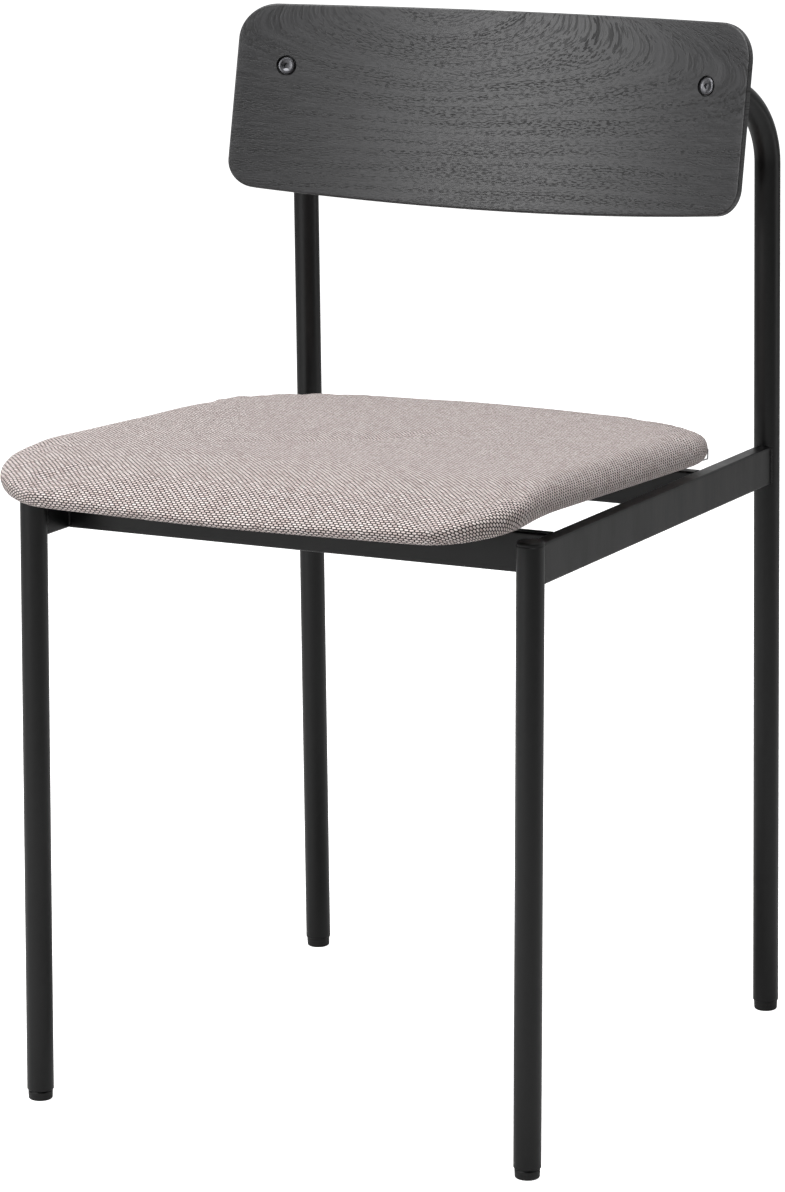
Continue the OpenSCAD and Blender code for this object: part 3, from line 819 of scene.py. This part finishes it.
def top_path():
    """Distance along the top from the nose, by millimetres of y."""
    path, total, before = [0.0], 0.0, (PAD_FRONT, pad_top(PAD_FRONT))
    steps = 880
    for i in range(1, steps + 1):
        y = PAD_FRONT + (PAD_REAR - PAD_FRONT) * i / steps
        total += math.hypot(y - before[0], pad_top(y) - before[1])
        path.append(total)
        before = (y, pad_top(y))
    return lambda y: path[max(0, min(steps, round((y - PAD_FRONT) / (PAD_REAR - PAD_FRONT) * steps)))]


def cloth_places(rings, normals):
    """Where each point lies on the uncreased cloth, in metres."""
    path = top_path()
    places = []
    for i, ring in enumerate(rings):
        if i < TOP_RINGS:
            places.append([(x * MM, path(y) * MM) for x, y, z in ring])
            continue
        row = []
        for j, (p, n) in enumerate(zip(ring, normals)):
            q, (u, v) = rings[i - 1][j], places[-1][j]
            step = math.dist(p, q) * MM
            row.append((u + n[0] * step, v + n[1] * step))
        places.append(row)
    return places


def swell(obj, held, cap):
    """Presses the cover outwards with cloth simulation and keeps the result, moved by cap at most."""
    mesh = obj.data
    before = [v.co.copy() for v in mesh.vertices]
    group = obj.vertex_groups.new(name="held")
    group.add(held, 1.0, "REPLACE")
    cloth = obj.modifiers.new("cloth", "CLOTH")
    cloth.settings.quality = 6
    cloth.settings.mass = 0.3
    cloth.settings.tension_stiffness = 40.0
    cloth.settings.compression_stiffness = 40.0
    cloth.settings.bending_stiffness = 4.0
    cloth.settings.use_pressure = True
    cloth.settings.uniform_pressure_force = 4.0
    cloth.settings.effector_weights.gravity = 0.0
    cloth.settings.vertex_group_mass = "held"
    cloth.collision_settings.use_collision = False
    scene = bpy.context.scene
    for number in range(1, SIM_FRAMES + 1):
        scene.frame_set(number)
    result = obj.evaluated_get(bpy.context.evaluated_depsgraph_get())
    after = [v.co.copy() for v in result.data.vertices]
    obj.modifiers.clear()
    obj.vertex_groups.clear()
    scene.frame_set(1)
    for vertex, a, b in zip(mesh.vertices, before, after):
        move = b - a
        length = move.length
        if length > 1e-9:
            vertex.co = a + move * (cap * math.tanh(length / cap) / length)


def hand_pulled(mesh, marks, count):
    """Small unevenness of hand upholstery: a soft ripple over the top and the edge."""
    for index, vertex in enumerate(mesh.vertices):
        if marks[index // count] in ("top", "edge"):
            vertex.co += vertex.normal * RIPPLE * noise(vertex.co * RIPPLES_PER_M)


def fabric():
    """Two-tone basket weave: pale dashes in rows offset by half, over dark brown."""
    g = Graph("seat_weave")
    uv = g.tree.nodes.new("ShaderNodeUVMap")
    uv.uv_map = "weave"
    wander = g.tree.nodes.new("ShaderNodeTexNoise")
    g.put(wander.inputs["Vector"], uv.outputs[0])
    wander.inputs["Scale"].default_value = 90.0
    split = g.tree.nodes.new("ShaderNodeSeparateXYZ")
    g.put(split.inputs[0], uv.outputs[0])
    drift = g.math("MULTIPLY", g.math("SUBTRACT", wander.outputs[0], 0.5), PICK_DRIFT)
    u = g.math("DIVIDE", g.math("ADD", split.outputs[0], drift), PICK_LENGTH)
    v = g.math("DIVIDE", g.math("ADD", split.outputs[1], drift), PICK_WIDTH)
    row = g.math("FLOOR", v)
    u = g.math("ADD", u, g.math("MULTIPLY", row, 0.5))
    column = g.math("FLOOR", u)
    du = g.math("ABSOLUTE", g.math("SUBTRACT", g.math("SUBTRACT", u, column), 0.5))
    dv = g.math("ABSOLUTE", g.math("SUBTRACT", g.math("SUBTRACT", v, row), 0.5))
    du = g.math("POWER", g.math("DIVIDE", du, 0.43), 3.0)
    dv = g.math("POWER", g.math("DIVIDE", dv, 0.42), 2.0)
    away = g.math("ADD", du, dv)
    cell = g.tree.nodes.new("ShaderNodeCombineXYZ")
    g.put(cell.inputs[0], column)
    g.put(cell.inputs[1], row)
    chance = g.tree.nodes.new("ShaderNodeTexWhiteNoise")
    chance.noise_dimensions = "2D"
    g.put(chance.inputs["Vector"], cell.outputs[0])
    thread = g.span(away, 0.62, 0.95, 1.0, 0.0)
    hair = g.noise(2600.0, 3.0, 0.6, of=uv.outputs[0])
    light = g.ramp(chance.outputs["Value"], (0.0, (0.58, 0.49, 0.47)), (0.5, (0.74, 0.655, 0.635)),
                   (1.0, (0.84, 0.77, 0.75)))
    light = g.mix(g.span(hair, 0.35, 0.7, 0.45, 0.0), light, (0.34, 0.26, 0.24))
    dark = g.ramp(hair, (0.3, (0.006, 0.004, 0.0035)), (0.7, (0.022, 0.014, 0.012)))
    colour = g.mix(thread, dark, light)
    dome = g.math("SQRT", g.math("MAXIMUM", g.math("SUBTRACT", 1.0, away), 0.0))
    normal = g.bump(hair, 0.25, 0.0002, g.bump(dome, 0.8, 0.0006))
    return g.finish(colour, 0.92, normal, Sheen_Weight=0.06, Sheen_Roughness=0.5)


def make_pad():
    """The padded seat as one closed skin, with the cloth's flat places as its UV map."""
    rings, marks, normals = pad_rings()
    places = cloth_places(rings, normals)
    count = len(rings[0])
    solid = [[on_seat(*p) for p in ring] for ring in rings]
    pad = loft("seat_pad", solid, fabric(), "seat_fabric", "seat_cover", "seat_foam", smooth_angle=80.0)
    mesh = pad.data
    layer = mesh.uv_layers.new(name="weave")
    flat = [place for ring in places for place in ring]
    for corner in mesh.loops:
        layer.data[corner.index].uv = flat[corner.vertex_index]
    held = [i for i in range(len(mesh.vertices)) if marks[i // count] in ("low", "under")]
    swell(pad, held, MOST_SWELL)
    hand_pulled(mesh, marks, count)


make_pad()
